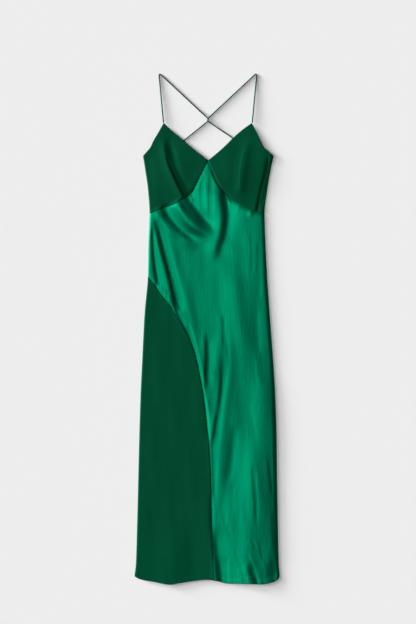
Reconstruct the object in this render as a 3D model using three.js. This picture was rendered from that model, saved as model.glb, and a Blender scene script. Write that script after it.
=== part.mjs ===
// A long slip dress laid out flat, front side up: two cups, a pointed satin front, a curved crepe skirt
// panel, one plain back, and two thin straps that cross over the back. Millimetres, +Z up. The dress
// lies on Z = 0 with its straps towards +Y, and the origin is under the middle of its outline.
import * as THREE from 'three';

// Driving sizes
const CLOTH = 1.2;            // wall of one layer of cloth, square to its surface
const SEAM_GAP = 0.36;        // between pieces that are sewn together
const LAYER_GAP = 0.35;       // between layers that lie on each other
const STRAP = 3.2;            // diameter of a rolled strap
const SKIRT_LOFT = 2.6;       // how high the front puffs up off the back
const BODICE_LOFT = 3.4;
const EDGE_ROUND = 11;        // width of the rounded edge at a side seam
const BACK_INSET = 1.6;       // the back lies this far inside the front's outline
const TIP = 1.2;              // width at which a pointed panel ends
const HEM_LEVEL = -691.6;     // height of both corners of the hem
const HEM_BEND = 130;         // the rows above the hem bend to its wave over this length
const MAX_STEEPNESS = 1.0;    // slope past which the wall isn't thickened any more
const SLOPE_REACH = 2;        // the slope of the cloth is taken over this far on each side of a point
const LOFT_CHANGE = { from: 200, over: 200 };  // the skirt's loft turns into the bodice's over this height
const DROOP = { from: 500, over: 77, share: 0.5 };  // the points of the cups lose this share of the loft

// Side seams, from the underarm down to the hem
const SIDES = [
  { y: 484.4, left: -179.2, right: 186.5 },
  { y: 456, left: -174.7, right: 180 },
  { y: 389, left: -165.2, right: 168 },
  { y: 322, left: -160.7, right: 160.6 },
  { y: 249, left: -163.4, right: 163 },
  { y: 147, left: -165.6, right: 168 },
  { y: 48, left: -174.4, right: 174.7 },
  { y: -87, left: -181.4, right: 184.8 },
  { y: -188, left: -186.2, right: 191 },
  { y: -288, left: -189.3, right: 194.3 },
  { y: -423, left: -192.6, right: 196 },
  { y: -557, left: -196, right: 198.2 },
  { y: -658, left: -199.4, right: 200.8 },
  { y: HEM_LEVEL, left: -203.3, right: 203.6 },
];

// Armholes, from each strap point down to the underarm
const ARMHOLES = [
  { y: 577, left: -122.9, right: 127.6 },
  { y: 547, left: -139.4, right: 141.6 },
  { y: 526, left: -151.2, right: 151.4 },
  { y: 509, left: -158.8, right: 159.4 },
  { y: 497, left: -168, right: 172.6 },
  { y: 484.4, left: -179.2, right: 186.5 },
];

// Neckline, from each strap point down to the point of the V
const NECKLINE = [
  { y: 577, left: -120.9, right: 125.6 },
  { y: 557, left: -100.8, right: 98.2 },
  { y: 535, left: -74.4, right: 73 },
  { y: 512, left: -48.6, right: 50.2 },
  { y: 490, left: -21, right: 25.2 },
  { y: 471.5, left: 2.4, right: 3.8 },
];

// Seams between the cups and the satin: down both sides of its point, then out under each cup
const CUP_SEAMS = [
  { y: 471.5, left: 2.4, right: 3.8 },
  { y: 454, left: -5.6, right: 10.4 },
  { y: 425, left: -19.6, right: 22.4 },
  { y: 397, left: -33.4, right: 37.2 },
  { y: 380, left: -43, right: 49.4 },
  { y: 370, left: -54, right: 57.4 },
  { y: 361, left: -71, right: 67.6 },
  { y: 349, left: -91, right: 92 },
  { y: 340, left: -117.4, right: 110.4 },
  { y: 332, left: -138.6, right: 126.4 },
  { y: 326.4, left: -151, right: 143 },
  { y: 322, left: -160.7, right: 160.6 },
];

// Seam between the satin and the crepe panel of the skirt
const SKIRT_SEAM = [
  { y: 147, x: -165.6 },
  { y: 128, x: -149.6 },
  { y: 95, x: -126.6 },
  { y: 66, x: -102.4 },
  { y: 38, x: -86.2 },
  { y: 1, x: -64 },
  { y: -40, x: -42.6 },
  { y: -83, x: -29.2 },
  { y: -142, x: -16.8 },
  { y: -222, x: -4.2 },
  { y: -311, x: 4.6 },
  { y: -414, x: 11.5 },
  { y: -534, x: 14.2 },
  { y: -664, x: 19.2 },
  { y: HEM_LEVEL, x: 21 },
];

// Wave of the hem as it lies, seen from above
const HEM = [
  { x: -203.3, y: -691.6 },
  { x: -190, y: -699.4 },
  { x: -148, y: -707.8 },
  { x: -103, y: -715.2 },
  { x: -68, y: -709.8 },
  { x: 2, y: -701.7 },
  { x: 28, y: -705.4 },
  { x: 55, y: -712.2 },
  { x: 118, y: -713 },
  { x: 152, y: -714.6 },
  { x: 184, y: -708.6 },
  { x: 197.6, y: -701.8 },
  { x: 203.6, y: -691.6 },
];

// Top edge of the back, hidden behind the cups
const BACK_NECK = [
  { x: -180, y: 484.4 },
  { x: -110, y: 470 },
  { x: 3, y: 452 },
  { x: 116, y: 470 },
  { x: 187, y: 484.4 },
];
const BACK_NECK_LEVEL = 484.4;
const BACK_NECK_BEND = 90;     // the rows under that edge bend to its curve over this length

// Full swell of each cup over the bust
const CUP_SWELLS = [
  { x: -92, y: 436, rise: 3.6, reach: 52 },
  { x: 96, y: 436, rise: 3.6, reach: 52 },
];

// Largest folds of the front. Each runs down from its head past its bend to its foot; width is to where
// a soft ridge (rise above 0) or trough (below 0) has mostly faded, lead and tail are its tapered ends.
const FOLDS = [
  { head: [-123, 540], bend: [-107, 459], foot: [-62, 360], width: 13, rise: 2, lead: 50, tail: 24 },
  { head: [-106, 552], bend: [-90, 459], foot: [-44, 366], width: 11, rise: -2.6, lead: 60, tail: 14 },
  { head: [116, 540], bend: [103, 459], foot: [90, 366], width: 12, rise: 1.8, lead: 50, tail: 30 },
  { head: [177, 474], bend: [167, 404], foot: [151, 330], width: 9, rise: -2.6, lead: 16, tail: 30 },
  { head: [8, 470], bend: [22, 347], foot: [34, 205], width: 30, rise: 3.4, lead: 60, tail: 70 },
  { head: [-52, 374], bend: [-30, 328], foot: [6, 272], width: 17, rise: -2.8, lead: 14, tail: 34 },
  { head: [-92, 352], bend: [-68, 300], foot: [-1, 254], width: 10, rise: 3.4, lead: 14, tail: 24 },
  { head: [-118, 344], bend: [-90, 286], foot: [-30, 242], width: 12, rise: -2.4, lead: 12, tail: 24 },
  { head: [-141, 332], bend: [-116, 288], foot: [-78, 246], width: 9, rise: 2, lead: 12, tail: 24 },
  { head: [-145, 326], bend: [-104, 171], foot: [-73, 44], width: 10, rise: -2.8, lead: 60, tail: 20 },
  { head: [-130, 310], bend: [-78, 143], foot: [-28, -34], width: 15, rise: 3.2, lead: 40, tail: 50 },
  { head: [-152, 296], bend: [-146, 199], foot: [-132, 108], width: 8, rise: -1.6, lead: 40, tail: 20 },
  { head: [51, 396], bend: [58, 305], foot: [31, 214], width: 13, rise: -3, lead: 30, tail: 60 },
  { head: [104, 346], bend: [80, 277], foot: [43, 190], width: 15, rise: 3.8, lead: 16, tail: 50 },
  { head: [71, 160], bend: [79, 53], foot: [95, -70], width: 22, rise: 2, lead: 50, tail: 60 },
  { head: [1, -8], bend: [2, -87], foot: [-2, -160], width: 9, rise: -2.2, lead: 40, tail: 30 },
  { head: [37, 0], bend: [22, -101], foot: [16, -214], width: 11, rise: 2.8, lead: 50, tail: 50 },
  { head: [45, -50], bend: [42, -185], foot: [23, -345], width: 11, rise: -2.3, lead: 60, tail: 50 },
  { head: [72, -90], bend: [51, -241], foot: [31, -480], width: 11, rise: 3.2, lead: 60, tail: 80 },
  { head: [80, -260], bend: [71, -353], foot: [55, -445], width: 13, rise: -1.8, lead: 40, tail: 40 },
  { head: [117, -300], bend: [121, -507], foot: [107, -760], width: 36, rise: 3, lead: 90, tail: 40 },
  { head: [127, -380], bend: [135, -456], foot: [140, -548], width: 9, rise: -1.8, lead: 30, tail: 30 },
  { head: [139, -390], bend: [151, -479], foot: [151, -612], width: 11, rise: 2, lead: 30, tail: 40 },
  { head: [171, -330], bend: [178, -409], foot: [185, -486], width: 9, rise: -1.5, lead: 30, tail: 30 },
  { head: [117, -640], bend: [132, -683], foot: [149, -760], width: 13, rise: -2.2, lead: 24, tail: 10 },
  { head: [28, -560], bend: [39, -647], foot: [48, -760], width: 12, rise: -2.2, lead: 50, tail: 10 },
  { head: [-96, -520], bend: [-100, -660], foot: [-104, -780], width: 34, rise: 2.2, lead: 120, tail: 10 },
];

// Middle lines of the straps: up from a cup's point, over the turn, down across the other strap, and
// under the far cup to the top edge of the back
const STRAP_POINT = { left: [-121.9, 577], right: [126.6, 577] };
const STRAP_TURN = { left: [-132.6, 713.8], right: [137.4, 713.8] };
const STRAP_CROSSING = [2.2, 585.4];
const CROSSING_RUN = 7.5;      // the straps lie on each other for this long where they cross
const STRAP_UNDER_CUP = { left: [-65.8, 526.4], right: [72.8, 533.4] };  // where it goes under the neckline
const BACK_STRAP_ENDS = { left: -124, right: 140 };
const TURN_IN = { out: 1.4, down: 5.8 };   // where the bend at the top of a strap starts, from its top
const TURN_OUT = { in: 5.4, down: 3.6 };   // and where it ends
const STRAP_SIDES = 8;
const STRAP_STEPS = 64;
const STRAP_CORNER = STRAP / 2 / Math.cos(Math.PI / STRAP_SIDES);  // from its middle to a corner

// Shares of a run of strap where its height changes: from the cup down to the floor, from the turn up
// to the crossing, and from the crossing down again to the neckline
const LEG_DOWN = { leave: 0.12, middle: 0.5, floor: 0.9 };
const CLIMB = { start: 0.1, middle: 0.5, foot: 0.82, top: 0.97 };
const DESCENT = { top: 0.08, foot: 0.45, end: 1 };

// Colours of the two cloths
const SATIN = new THREE.MeshStandardMaterial({ color: '#04875c', roughness: 0.36, metalness: 0 });
const CREPE = new THREE.MeshStandardMaterial({ color: '#014c31', roughness: 0.85, metalness: 0 });

// A smooth curve through a table: no row is overshot, and its ends run on level
function curve(table, key, value) {
  const keys = table.map((row) => row[key]);
  const values = table.map((row) => row[value]);
  if (keys[0] > keys[keys.length - 1]) {
    keys.reverse();
    values.reverse();
  }
  const steps = keys.slice(1).map((k, i) => k - keys[i]);
  const slopes = steps.map((step, i) => (values[i + 1] - values[i]) / step);
  const tangents = keys.map((_, i) => {
    if (i === 0) return slopes[0];
    if (i === slopes.length) return slopes[i - 1];
    if (slopes[i - 1] * slopes[i] <= 0) return 0;
    const before = 2 * steps[i] + steps[i - 1];
    const after = steps[i] + 2 * steps[i - 1];
    return (before + after) / (before / slopes[i - 1] + after / slopes[i]);
  });
  return (at) => {
    const k = THREE.MathUtils.clamp(at, keys[0], keys[keys.length - 1]);
    let i = 0;
    while (i < steps.length - 1 && k > keys[i + 1]) i += 1;
    const t = (k - keys[i]) / steps[i];
    const bulge = t * (1 - t);
    const toStart = bulge * (1 - t) * tangents[i] * steps[i];
    const toEnd = -bulge * t * tangents[i + 1] * steps[i];
    const share = t * t * (3 - 2 * t);
    return values[i] + (values[i + 1] - values[i]) * share + toStart + toEnd;
  };
}

const leftSide = curve(SIDES, 'y', 'left');
const rightSide = curve(SIDES, 'y', 'right');
const hem = curve(HEM, 'x', 'y');
const backNeck = curve(BACK_NECK, 'x', 'y');
const skirtSeam = curve(SKIRT_SEAM, 'y', 'x');
const smooth = (t) => THREE.MathUtils.smoothstep(t, 0, 1);

// Height of one fold above or below the cloth around it
function foldHeight(fold, x, y) {
  const [head, bend, foot] = [fold.head, fold.bend, fold.foot];
  if (y > head[1] || y < foot[1]) return 0;
  const along = (head[1] - y) / (head[1] - foot[1]);
  const atBend = (head[1] - bend[1]) / (head[1] - foot[1]);
  const straight = THREE.MathUtils.lerp(head[0], foot[0], along);
  const bow = (bend[0] - THREE.MathUtils.lerp(head[0], foot[0], atBend)) / (atBend * (1 - atBend));
  const line = straight + bow * along * (1 - along);
  const lean = (foot[0] - head[0] + bow * (1 - 2 * along)) / (head[1] - foot[1]);
  const off = (x - line) / Math.hypot(1, lean) / fold.width;
  const ends = smooth((head[1] - y) / fold.lead) * smooth((y - foot[1]) / fold.tail);
  return fold.rise * ends * Math.exp(-off * off);
}

// Underside of the front above the floor
function drape(x, y) {
  const inside = Math.max(0, Math.min(x - leftSide(y), rightSide(y) - x));
  const edge = 1 - (1 - Math.min(inside / EDGE_ROUND, 1)) ** 2;
  const bodice = smooth((y - LOFT_CHANGE.from) / LOFT_CHANGE.over);
  let loft = THREE.MathUtils.lerp(SKIRT_LOFT, BODICE_LOFT, bodice);
  loft *= 1 - DROOP.share * smooth((y - DROOP.from) / DROOP.over);
  for (const swell of CUP_SWELLS) {
    const away = Math.hypot(x - swell.x, y - swell.y) / swell.reach;
    loft += swell.rise * Math.exp(-away * away);
  }
  for (const fold of FOLDS) loft += foldHeight(fold, x, y);
  return CLOTH + LAYER_GAP + edge * Math.max(loft, 0);
}

// How far the top of the wall is above its underside, so that the wall keeps its thickness on a slope
function wallAbove(x, y) {
  const slopeX = (drape(x + SLOPE_REACH, y) - drape(x - SLOPE_REACH, y)) / (2 * SLOPE_REACH);
  const slopeY = (drape(x, y + SLOPE_REACH) - drape(x, y - SLOPE_REACH)) / (2 * SLOPE_REACH);
  return CLOTH * Math.hypot(1, Math.min(Math.hypot(slopeX, slopeY), MAX_STEEPNESS));
}

// Rows near the hem bend down to the wave of the hem
function bendToHem(x, y) {
  return y + (hem(x) - HEM_LEVEL) * smooth(1 - (y - HEM_LEVEL) / HEM_BEND);
}

// Heights of the rows that every front panel shares, so that sewn edges have their points side by side
const FRONT_LEVELS = [
  577, 561, 545, 528, 510, 497, 484.4, 471.5, 468, 458, 446, 433, 418, 404, 390, 380, 370, 361, 355,
  349, 344, 340, 336, 332, 329, 326.4, 325.3, 324.2, 323.1, 322, 308, 292, 274, 255, 236, 216, 194,
  171, 147, 138, 128, 112, 95, 80, 66, 52, 38, 20, 1, -19, -40, -62, -83, -112, -142, -172, -202,
  -234, -266, -300, -334, -369, -404, -440, -476, -512, -548, -580, -612, -644, -668, HEM_LEVEL,
];

// Rows at which the pointed ends of the panels stop, just short of where their edges would meet
const CUP_BOTTOM = 323.1;
const SATIN_POINT = 468;
const SKIRT_POINT = 138;

// Points across each panel
const COLUMNS = { cup_left: 15, cup_right: 17, satin_front: 28, crepe_skirt: 10, back: 9 };
const EDGE_COLUMN = 0.4;       // the first and last points but one are this share of a step from the edge
const BACK_ROW_STEP = 3;       // the flat back takes one in this many of the rows

const levelsBetween = (top, bottom) => FRONT_LEVELS.filter((y) => y <= top && y >= bottom);

// Moves a sewn edge half a seam gap into its own panel, square to the seam
function sewn(edge, into) {
  return (y) => {
    const lean = (edge(y + 1) - edge(y - 1)) / 2;
    return edge(y) + into * (SEAM_GAP / 2) * Math.hypot(1, lean);
  };
}

// A closed wall between an underside and a top, over a grid of rows from left to right
function wall(rows, columns, underside, top) {
  const positions = [];
  for (const surface of [underside, top]) {
    for (const row of rows) for (const [x, y] of row) positions.push(x, y, surface(x, y));
  }
  const sheet = rows.length * columns;
  const at = (layer, r, c) => layer * sheet + r * columns + c;
  const faces = [];
  const quad = (a, b, c, d) => faces.push(a, b, c, a, c, d);
  for (let r = 0; r < rows.length - 1; r += 1) {
    for (let c = 0; c < columns - 1; c += 1) {
      quad(at(1, r, c), at(1, r + 1, c), at(1, r + 1, c + 1), at(1, r, c + 1));
      quad(at(0, r, c), at(0, r, c + 1), at(0, r + 1, c + 1), at(0, r + 1, c));
    }
    const last = columns - 1;
    quad(at(0, r, 0), at(0, r + 1, 0), at(1, r + 1, 0), at(1, r, 0));
    quad(at(0, r + 1, last), at(0, r, last), at(1, r, last), at(1, r + 1, last));
  }
  const bottom = rows.length - 1;
  for (let c = 0; c < columns - 1; c += 1) {
    quad(at(0, 0, c + 1), at(0, 0, c), at(1, 0, c), at(1, 0, c + 1));
    quad(at(0, bottom, c), at(0, bottom, c + 1), at(1, bottom, c + 1), at(1, bottom, c));
  }
  const geometry = new THREE.BufferGeometry();
  geometry.setAttribute('position', new THREE.Float32BufferAttribute(positions, 3));
  geometry.setIndex(faces);
  geometry.computeVertexNormals();
  return geometry;
}

// Shares of a panel's width at which its points lie, closer together beside both edges
function columnShares(columns) {
  const steps = columns - 3;
  const inner = Array.from({ length: columns - 4 }, (_, i) => (i + 1) / steps);
  return [0, EDGE_COLUMN / steps, ...inner, 1 - EDGE_COLUMN / steps, 1];
}

// One panel of the front, between its left and right edges
function frontPanel(name, material, levels, left, right) {
  const shares = columnShares(COLUMNS[name]);
  const rows = levels.map((y) => {
    const [from, to] = [left(y), right(y)];
    const width = Math.max(to - from, TIP);
    return shares.map((share) => {
      const x = from + width * share;
      return [x, bendToHem(x, y)];
    });
  });
  const top = (x, y) => drape(x, y) + wallAbove(x, y);
  const mesh = new THREE.Mesh(wall(rows, shares.length, drape, top), material);
  mesh.name = name;
  return mesh;
}

// Outer edge of a cup: its armhole, then the side seam
function cupOuter(side) {
  const armhole = curve(ARMHOLES, 'y', side);
  const seam = side === 'left' ? leftSide : rightSide;
  return (y) => (y > SIDES[0].y ? armhole(y) : seam(y));
}

// Inner edge of a cup: the neckline, then the seam to the satin
function cupInner(side, into) {
  const neckline = curve(NECKLINE, 'y', side);
  const seam = sewn(curve(CUP_SEAMS, 'y', side), into);
  return (y) => (y > CUP_SEAMS[0].y ? neckline(y) : seam(y));
}

function leftCup() {
  const levels = levelsBetween(NECKLINE[0].y, CUP_BOTTOM);
  return frontPanel('cup_left', CREPE, levels, cupOuter('left'), cupInner('left', -1));
}

function rightCup() {
  const levels = levelsBetween(NECKLINE[0].y, CUP_BOTTOM);
  return frontPanel('cup_right', CREPE, levels, cupInner('right', 1), cupOuter('right'));
}

// The satin runs from the point of the V down to the hem, out to the right side seam all the way and
// to the left side seam as far as the curved seam
function satinFront() {
  const cupLeft = sewn(curve(CUP_SEAMS, 'y', 'left'), 1);
  const cupRight = sewn(curve(CUP_SEAMS, 'y', 'right'), -1);
  const seam = sewn(skirtSeam, 1);
  const sideEnd = CUP_SEAMS[CUP_SEAMS.length - 1].y;
  const left = (y) => {
    if (y >= sideEnd) return cupLeft(y);
    return y > SKIRT_SEAM[0].y ? leftSide(y) : seam(y);
  };
  const right = (y) => (y >= sideEnd ? cupRight(y) : rightSide(y));
  return frontPanel('satin_front', SATIN, levelsBetween(SATIN_POINT, HEM_LEVEL), left, right);
}

function crepeSkirt() {
  const levels = levelsBetween(SKIRT_POINT, HEM_LEVEL);
  return frontPanel('crepe_skirt', CREPE, levels, leftSide, sewn(skirtSeam, -1));
}

// The back lies flat on the floor under the front, from its own neckline to the hem
function back() {
  const below = levelsBetween(BACK_NECK_LEVEL, HEM_LEVEL);
  const last = below.length - 1;
  const levels = below.filter((_, i) => i === 0 || (last - i) % BACK_ROW_STEP === 0);
  const columns = COLUMNS.back;
  const rows = levels.map((y) => {
    const [from, to] = [leftSide(y) + BACK_INSET, rightSide(y) - BACK_INSET];
    const lift = y === HEM_LEVEL ? BACK_INSET : 0;
    return Array.from({ length: columns }, (_, c) => {
      const x = from + ((to - from) * c) / (columns - 1);
      const dip = (backNeck(x) - BACK_NECK_LEVEL) * smooth(1 - (BACK_NECK_LEVEL - y) / BACK_NECK_BEND);
      return [x, bendToHem(x, y) + dip + lift];
    });
  });
  const mesh = new THREE.Mesh(wall(rows, columns, () => 0, () => CLOTH), SATIN);
  mesh.name = 'back';
  return mesh;
}

// The middle line of a strap, a smooth curve through its points that stays above the floor
class MiddleLine extends THREE.Curve {
  constructor(points) {
    super();
    this.through = new THREE.CatmullRomCurve3(points, false, 'centripetal');
  }

  // The smooth curve dips a little beside each change of height, and the floor stops it there
  getPoint(t, target = new THREE.Vector3()) {
    this.through.getPoint(t, target);
    target.z = Math.max(target.z, STRAP_CORNER);
    return target;
  }
}

// A rolled strap along its middle line. It starts level with the cup's cloth, drops to the floor at the
// turn, and lies on the floor but for the crossing, where the upper strap rides over the lower one.
function strap(name, side, far, overOther) {
  const onFloor = STRAP_CORNER;
  const over = onFloor + (overOther ? 2 * STRAP_CORNER + LAYER_GAP : 0);
  const [pointX, pointY] = STRAP_POINT[side];
  const [turnX, turnY] = STRAP_TURN[side];
  const [crossX, crossY] = STRAP_CROSSING;
  const endX = BACK_STRAP_ENDS[far];
  const outward = side === 'left' ? -1 : 1;
  const onCup = drape(pointX, pointY) + CLOTH / 2;
  const along = (from, to, share, height) => new THREE.Vector3(
    THREE.MathUtils.lerp(from[0], to[0], share),
    THREE.MathUtils.lerp(from[1], to[1], share),
    height,
  );
  const lower = (share) => THREE.MathUtils.lerp(onCup, onFloor, share);
  const foot = [pointX, pointY + SEAM_GAP];
  const turnIn = [turnX + outward * TURN_IN.out, turnY - TURN_IN.down];
  const turnOut = [turnX - outward * TURN_OUT.in, turnY - TURN_OUT.down];
  const meet = [crossX, crossY + CROSSING_RUN / 2];
  const part = [crossX, crossY - CROSSING_RUN / 2];
  const under = STRAP_UNDER_CUP[far];
  const end = [endX, backNeck(endX) + SEAM_GAP + STRAP / 2];
  const route = new MiddleLine([
    along(foot, turnIn, 0, onCup),
    along(foot, turnIn, LEG_DOWN.leave, lower(LEG_DOWN.leave)),
    along(foot, turnIn, LEG_DOWN.middle, lower(LEG_DOWN.middle)),
    along(foot, turnIn, LEG_DOWN.floor, onFloor),
    new THREE.Vector3(...turnIn, onFloor),
    new THREE.Vector3(turnX, turnY, onFloor),
    new THREE.Vector3(...turnOut, onFloor),
    along(turnOut, meet, CLIMB.start, onFloor),
    along(turnOut, meet, CLIMB.middle, onFloor),
    along(turnOut, meet, CLIMB.foot, onFloor),
    along(turnOut, meet, CLIMB.top, over),
    new THREE.Vector3(...meet, over),
    new THREE.Vector3(...part, over),
    along(part, under, DESCENT.top, over),
    along(part, under, DESCENT.foot, onFloor),
    along(part, under, DESCENT.end, onFloor),
    new THREE.Vector3(...end, onFloor),
  ]);
  const round = new THREE.Shape();
  for (let i = 0; i < STRAP_SIDES; i += 1) {
    const turn = ((i + 0.5) / STRAP_SIDES) * 2 * Math.PI;
    const point = [STRAP_CORNER * Math.cos(turn), STRAP_CORNER * Math.sin(turn)];
    if (i === 0) round.moveTo(...point);
    else round.lineTo(...point);
  }
  round.closePath();
  const geometry = new THREE.ExtrudeGeometry(round, {
    steps: STRAP_STEPS,
    extrudePath: route,
    bevelEnabled: false,
  });
  const mesh = new THREE.Mesh(geometry, CREPE);
  mesh.name = name;
  return mesh;
}

const dress = new THREE.Group();
dress.add(
  leftCup(),
  rightCup(),
  satinFront(),
  crepeSkirt(),
  back(),
  strap('strap_left', 'left', 'right', true),
  strap('strap_right', 'right', 'left', false),
);

export default dress;
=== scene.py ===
# A long slip dress laid out flat, front side up: its looks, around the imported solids. Metres, +Z up.
# The pattern's own tables are in millimetres, as it was drafted, and meshes are turned to metres.
import math

import bpy
import numpy as np
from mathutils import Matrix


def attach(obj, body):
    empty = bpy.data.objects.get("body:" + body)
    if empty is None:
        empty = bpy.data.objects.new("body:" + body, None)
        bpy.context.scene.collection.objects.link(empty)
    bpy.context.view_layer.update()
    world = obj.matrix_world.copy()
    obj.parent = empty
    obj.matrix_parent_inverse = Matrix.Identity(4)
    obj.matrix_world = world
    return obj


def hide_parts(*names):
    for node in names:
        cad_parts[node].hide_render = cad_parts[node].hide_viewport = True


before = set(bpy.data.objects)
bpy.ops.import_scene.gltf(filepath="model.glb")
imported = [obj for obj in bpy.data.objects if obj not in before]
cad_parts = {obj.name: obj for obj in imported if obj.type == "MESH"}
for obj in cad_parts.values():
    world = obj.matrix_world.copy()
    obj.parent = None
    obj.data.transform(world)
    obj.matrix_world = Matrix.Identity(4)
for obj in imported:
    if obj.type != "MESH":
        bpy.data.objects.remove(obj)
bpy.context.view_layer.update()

# The surface it lies on, the light and the camera. The floor is a plain pale sheet of matt card. One soft
# lamp stands high at the left. Two low ones stand beside each other, a little nearer the straps, and their
# light grazes the folds. The camera looks straight down, as the photograph does.
MM = 0.001
PIXEL = 2.8 * MM
PHOTO_WIDTH = 416
PHOTO_HEIGHT = 624
ORIGIN_PIXEL = (207, 329)
CAMERA_HEIGHT = 6.0
SENSOR_HEIGHT = 36.0
FLOOR_SIZE = 12.0
FLOOR_DROP = 0.4 * MM
CARD_COLOUR = "#ECECEC"
ROOM_COLOUR = "#FFFFFF"
ROOM_STRENGTH = 0.085
# Lamps: turn from the right, height above the floor and width as seen, in degrees, and strength
HIGH_LAMP = (182, 71, 16, 1.12)
LOW_LAMP = (165, 20, 24, 3.3)
GRAZING_LAMP = (155, 8, 10, 5.2)


def linear(colour):
    """The linear red, green, blue and alpha of an sRGB hex colour."""
    shares = [int(colour[i : i + 2], 16) / 255 for i in (1, 3, 5)]
    flat = [s / 12.92 if s <= 0.04045 else ((s + 0.055) / 1.055) ** 2.4 for s in shares]
    return (*flat, 1.0)


def add_node(tree, kind, inputs=None, **settings):
    """Adds a node with its settings. Each input is a value, or the output that is linked to it."""
    node = tree.nodes.new(kind)
    for name, value in settings.items():
        setattr(node, name, value)
    for name, value in (inputs or {}).items():
        if isinstance(value, bpy.types.NodeSocket):
            tree.links.new(value, node.inputs[name])
        else:
            node.inputs[name].default_value = value
    return node


def new_material(name):
    """An empty material with its node tree."""
    material = bpy.data.materials.new(name)
    material.use_nodes = True
    material.node_tree.nodes.clear()
    return material, material.node_tree


def link(thing):
    """Puts a new object into the scene."""
    bpy.context.scene.collection.objects.link(thing)
    return thing


# Matt card, uncoated: an even pale ground that takes a soft shadow and gives back no gloss.
card, tree = new_material("matt_card")
card_shader = add_node(
    tree,
    "ShaderNodeBsdfPrincipled",
    {"Base Color": linear(CARD_COLOUR), "Roughness": 0.9, "Specular IOR Level": 0.1},
)
add_node(tree, "ShaderNodeOutputMaterial", {"Surface": card_shader.outputs[0]})

half = FLOOR_SIZE / 2
floor_mesh = bpy.data.meshes.new("floor")
floor_corners = [
    (-half, -half, -FLOOR_DROP),
    (half, -half, -FLOOR_DROP),
    (half, half, -FLOOR_DROP),
    (-half, half, -FLOOR_DROP),
]
floor_mesh.from_pydata(floor_corners, [], [(0, 1, 2, 3)])
floor_mesh.materials.append(card)
floor = link(bpy.data.objects.new("floor", floor_mesh))

room = bpy.data.worlds.new("room")
room.use_nodes = True
bpy.context.scene.world = room
room_light = room.node_tree.nodes["Background"]
room_light.inputs["Color"].default_value = linear(ROOM_COLOUR)
room_light.inputs["Strength"].default_value = ROOM_STRENGTH


def add_lamp(name, turn, height, width, strength):
    """A soft lamp so far off that it lights the whole dress alike."""
    lamp = bpy.data.lights.new(name, "SUN")
    lamp.angle = math.radians(width)
    lamp.energy = strength
    holder = link(bpy.data.objects.new(name, lamp))
    holder.rotation_euler = (0, math.radians(90 - height), math.radians(turn))


add_lamp("high_lamp", *HIGH_LAMP)
add_lamp("low_lamp", *LOW_LAMP)
add_lamp("grazing_lamp", *GRAZING_LAMP)

camera_data = bpy.data.cameras.new("camera")
camera_data.sensor_fit = "VERTICAL"
camera_data.sensor_height = SENSOR_HEIGHT
camera_data.lens = SENSOR_HEIGHT * CAMERA_HEIGHT / (PHOTO_HEIGHT * PIXEL)
camera = link(bpy.data.objects.new("camera", camera_data))
camera.location = (
    (PHOTO_WIDTH / 2 - ORIGIN_PIXEL[0]) * PIXEL,
    (ORIGIN_PIXEL[1] - PHOTO_HEIGHT / 2) * PIXEL,
    CAMERA_HEIGHT,
)
bpy.context.scene.camera = camera
bpy.context.scene.view_settings.view_transform = "Standard"

# The left cup, cut from a satin-back crepe with its matt side out. It is sewn to the satin along its lower
# edge and to the back at the side, and its neckline and armhole are turned under. It is the first piece of
# the front, so the outline and the lie of the whole front are here too.

# Thickness of the solids' cloth and of the cloth that shows, and the gap between layers
CLOTH = 1.2
SHOWN_CLOTH = 0.8
LAYER_GAP = 0.35
# Air under the front at the skirt and the bodice, and how it ends: rounded down at the sides, over a
# shorter width at the left one, and lower towards the tips of the cups
SKIRT_LOFT = 2.6
BODICE_LOFT = 3.4
LOFT_FROM = 200
LOFT_OVER = 200
EDGE_ROUND = 11
LEFT_EDGE_SHARPER = 3.0
DROOP_FROM = 500
DROOP_OVER = 77
DROOP_SHARE = 0.5
# Height of the hem's corners, and how far up its wave bends the cloth
HEM_LEVEL = -691.6
HEM_BEND = 130

# Side seams: height, left, right
SIDES = [
    (484.4, -179.2, 186.5),
    (456, -174.7, 180),
    (389, -165.2, 168),
    (322, -160.7, 160.6),
    (249, -163.4, 163),
    (147, -165.6, 168),
    (48, -174.4, 174.7),
    (-87, -181.4, 184.8),
    (-188, -186.2, 191),
    (-288, -189.3, 194.3),
    (-423, -192.6, 196),
    (-557, -196, 198.2),
    (-658, -199.4, 200.8),
    (HEM_LEVEL, -203.3, 203.6),
]

# Armholes: height, left, right
ARMHOLES = [
    (577, -122.9, 127.6),
    (547, -139.4, 141.6),
    (526, -151.2, 151.4),
    (509, -158.8, 159.4),
    (497, -168, 172.6),
    (484.4, -179.2, 186.5),
]

# Neckline: height, left, right
NECKLINE = [
    (577, -120.9, 125.6),
    (557, -100.8, 98.2),
    (535, -74.4, 73),
    (512, -48.6, 50.2),
    (490, -21, 25.2),
    (471.5, 3.0, 3.2),
]

# Seams between the cups and the satin: height, left, right
CUP_SEAMS = [
    (471.5, 3.0, 3.2),
    (454, -5.6, 10.4),
    (425, -19.6, 22.4),
    (397, -33.4, 37.2),
    (380, -43, 49.4),
    (370, -54, 57.4),
    (361, -71, 67.6),
    (349, -91, 92),
    (340, -117.4, 110.4),
    (332, -138.6, 126.4),
    (326.4, -151, 143),
    (322, -160.7, 160.6),
]

# Seam between the satin and the crepe panel of the skirt: height, place across
SKIRT_SEAM = [
    (147, -165.6),
    (128, -149.6),
    (95, -126.6),
    (66, -102.4),
    (38, -86.2),
    (1, -64),
    (-40, -42.6),
    (-83, -29.2),
    (-142, -16.8),
    (-222, -4.2),
    (-311, 4.6),
    (-414, 11.5),
    (-534, 14.2),
    (-664, 19.2),
    (HEM_LEVEL, 21),
]

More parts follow.
